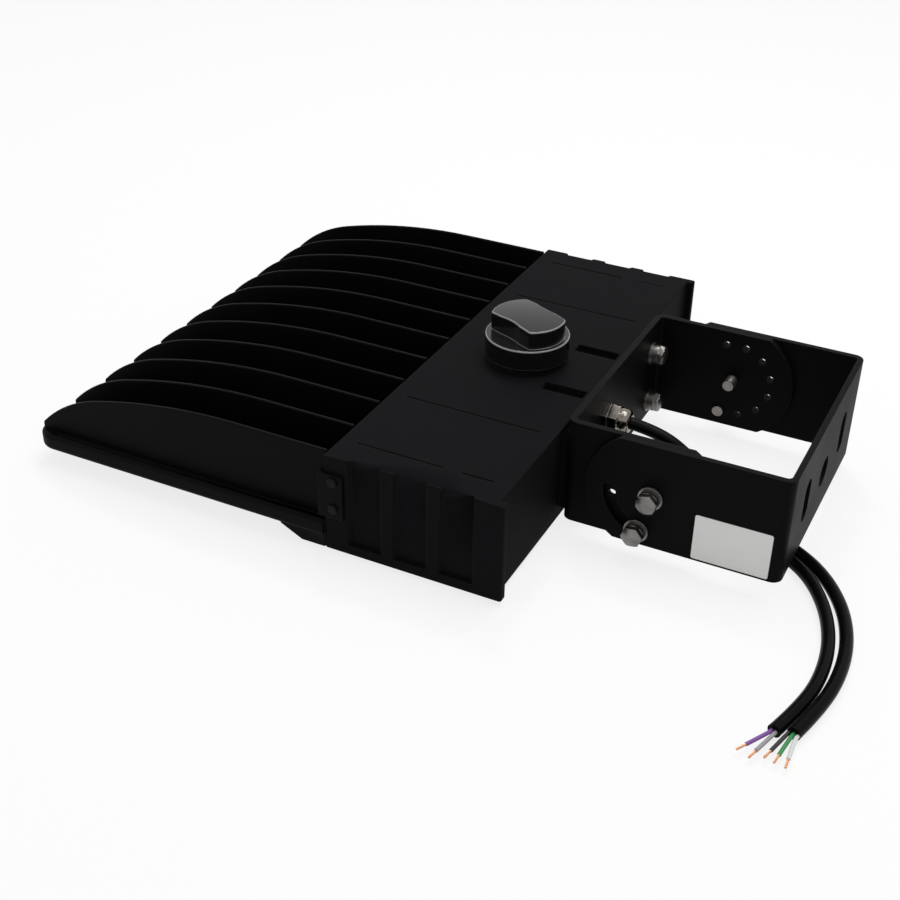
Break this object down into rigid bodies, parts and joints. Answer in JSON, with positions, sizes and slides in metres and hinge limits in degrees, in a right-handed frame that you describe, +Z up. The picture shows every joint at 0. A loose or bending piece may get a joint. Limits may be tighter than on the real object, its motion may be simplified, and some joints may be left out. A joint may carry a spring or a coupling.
{
  "type": "area light",
  "caption": "Flat LED area light: finned lamp head, driver box with a twist-lock cap on its lid, and a tilting U-shaped yoke with slotted mounting web.",
  "frame": {"origin": "on the floor, within 2 mm of the middle of the light's outer box without its cables", "axes": "+Z up, away from the light-emitting side; +X from the finned head towards the yoke's web; +Y across the light, away from the side with the label"},
  "size_m": [0.5686, 0.4191, 0.1083],
  "materials": {
    "head_coat": "black powder coat on die-cast aluminium, matt",
    "box_coat": "charcoal powder coat on die-cast aluminium, fine texture",
    "bracket_coat": "black powder coat on bent steel plate, satin",
    "lens": "clear moulded optics",
    "seal": "black silicone and EPDM seals",
    "board": "white solder mask on aluminium board",
    "chip": "yellow phosphor",
    "stainless": "stainless steel, machined",
    "screw_coat": "black-coated steel screws",
    "driver_case": "plain aluminium case",
    "driver_plastic": "black moulded plastic",
    "terminal_plastic": "pale grey moulded plastic",
    "receptacle_plastic": "black moulded plastic",
    "contact": "brass blades and contacts",
    "cap_shell": "glossy black moulded plastic",
    "nickel": "nickel-plated brass",
    "cable_jacket": "black cable jacket",
    "core_black": "black wire insulation",
    "core_white": "white wire insulation",
    "core_green": "green wire insulation",
    "core_violet": "violet wire insulation",
    "core_grey": "grey wire insulation",
    "label": "white self-adhesive label with no print that says anything"
  },
  "bodies": {
    "head": {"heat_sink": "head_coat", "lens_frame": "head_coat", "driver_housing": "box_coat", "driver_cover": "box_coat", "inner_bracket": "bracket_coat", "lens_panel_1": "lens", "lens_panel_2": "lens", "lens_panel_3": "lens", "lens_panel_4": "lens", "lens_seals": "seal", "cover_seal": "seal", "head_seal": "seal", "receptacle_seal": "seal", "power_gland_seal": "seal", "control_gland_seal": "seal", "led_board_1": "board", "led_board_2": "board", "led_board_3": "board", "led_board_4": "board", "led_chips": "chip", "pivot_bolts": "stainless", "lock_bolts": "stainless", "arm_flat_washers": "stainless", "arm_spring_washers": "stainless", "bracket_bolts": "stainless", "bracket_flat_washers": "stainless", "bracket_spring_washers": "stainless", "frame_screws": "stainless", "cover_screws": "stainless", "driver_screws": "stainless", "receptacle_screws": "stainless", "lug_screws": "screw_coat", "led_driver": "driver_case", "driver_end_caps": "driver_plastic", "surge_protector": "driver_plastic", "terminal_block": "terminal_plastic", "receptacle_body": "receptacle_plastic", "receptacle_contacts": "contact", "power_gland_body": "nickel", "power_gland_locknut": "nickel", "power_gland_cap_nut": "nickel", "control_gland_body": "nickel", "control_gland_locknut": "nickel", "control_gland_cap_nut": "nickel", "power_cable": "cable_jacket", "control_cable": "cable_jacket", "led_lead": "cable_jacket", "supply_lead": "cable_jacket", "control_lead": "cable_jacket", "line_core": "core_black", "neutral_core": "core_white", "ground_core": "core_green", "control_core_plus": "core_violet", "control_core_minus": "core_grey"},
    "yoke": {"yoke": "bracket_coat", "blank_label": "label"},
    "cap": {"twist_cap": "cap_shell", "cap_base": "receptacle_plastic", "cap_seal": "seal", "cap_blades": "contact"}
  },
  "joints": [
    {"name": "yoke_tilt", "type": "hinge", "parent": "head", "child": "yoke", "pos_m": [0.17, 0, 0.049], "axis": [0, -1, 0], "range_deg": [0, 70]},
    {"name": "cap_twist", "type": "hinge", "parent": "head", "child": "cap", "pos_m": [0.043, 0, 0.079], "axis": [0, 0, 1], "range_deg": [0, 25]}
  ]
}
